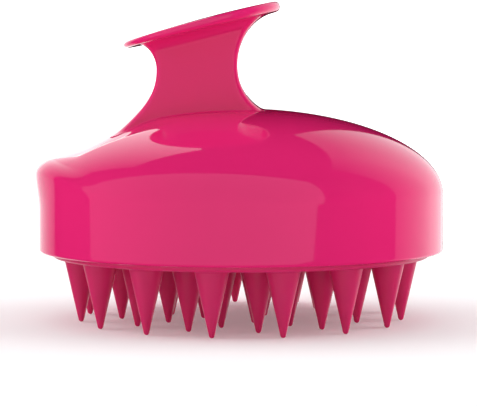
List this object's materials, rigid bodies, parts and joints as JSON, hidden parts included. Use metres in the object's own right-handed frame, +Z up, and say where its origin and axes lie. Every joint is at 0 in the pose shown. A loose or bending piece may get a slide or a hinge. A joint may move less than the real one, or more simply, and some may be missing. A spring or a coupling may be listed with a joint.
{
  "type": "scalp massager brush",
  "caption": "Hand-held scalp massager brush: glossy pink domed body with a T handle and a pull-off silicone bristle head.",
  "frame": {"origin": "on the axis of the round body, in the plane of the bristle tips", "axes": "+Z up, away from the bristle tips; -X towards the thumb rest, +X towards the raised end of the palm plate"},
  "size_m": [0.0857, 0.085, 0.067],
  "materials": {
    "gloss_pink": "high gloss, moulded",
    "silicone_pink": "satin, slightly translucent silicone",
    "carrier_pink": "fine matt, moulded",
    "screw_steel": "bright"
  },
  "bodies": {
    "shell": {"dome_shell": "gloss_pink", "handle_stem": "gloss_pink", "palm_plate": "gloss_pink", "handle_screws": "screw_steel"},
    "brush_head": {"carrier_plate": "carrier_pink", "bristle_pad": "silicone_pink", "bristles_outer": "silicone_pink", "bristles_second": "silicone_pink", "bristles_third": "silicone_pink", "bristles_inner": "silicone_pink"}
  },
  "joints": [
    {"name": "head_pull_off", "type": "slide", "parent": "brush_head", "child": "shell", "axis": [0, 0, 1], "range_m": [0, 0.02]}
  ]
}
